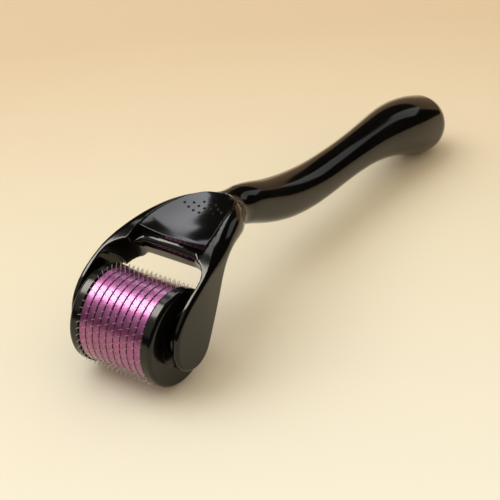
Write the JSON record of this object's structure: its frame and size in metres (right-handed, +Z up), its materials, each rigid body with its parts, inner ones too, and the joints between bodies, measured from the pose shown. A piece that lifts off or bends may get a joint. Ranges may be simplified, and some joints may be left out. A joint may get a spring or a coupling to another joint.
{
  "type": "derma roller",
  "caption": "Hand-held skin roller: a curved glossy handle with a fork head, a thumb pad and a drum of fine steel needles between purple bands.",
  "frame": {"origin": "on the surface the roller rests on, straight below the middle of the axle", "axes": "+X along the axle, +Y from the drum to the ball end of the handle, +Z up"},
  "size_m": [0.0296, 0.1445, 0.029],
  "materials": {
    "handle": "high gloss moulded",
    "pad": "high gloss moulded",
    "axle": "ground steel",
    "core": "moulded",
    "flange": "gloss moulded",
    "band": "purple anodised",
    "needles": "etched steel"
  },
  "bodies": {
    "handle": {"handle_body": "handle", "underside_cover": "handle", "thumb_pad": "pad", "axle_pin": "axle"},
    "roller": {"roller_core": "core", "left_flange": "flange", "right_flange": "flange", "band_ring_1": "band", "band_ring_2": "band", "band_ring_3": "band", "band_ring_4": "band", "band_ring_5": "band", "band_ring_6": "band", "band_ring_7": "band", "band_ring_8": "band", "band_ring_9": "band", "needle_disc_1": "needles", "needle_disc_2": "needles", "needle_disc_3": "needles", "needle_disc_4": "needles", "needle_disc_5": "needles", "needle_disc_6": "needles", "needle_disc_7": "needles", "needle_disc_8": "needles", "needle_disc_9": "needles", "needle_disc_10": "needles"}
  },
  "joints": [
    {"name": "roller_spin", "type": "hinge", "parent": "handle", "child": "roller", "pos_m": [0, 0, 0.0118], "axis": [1, 0, 0], "continuous": true}
  ]
}
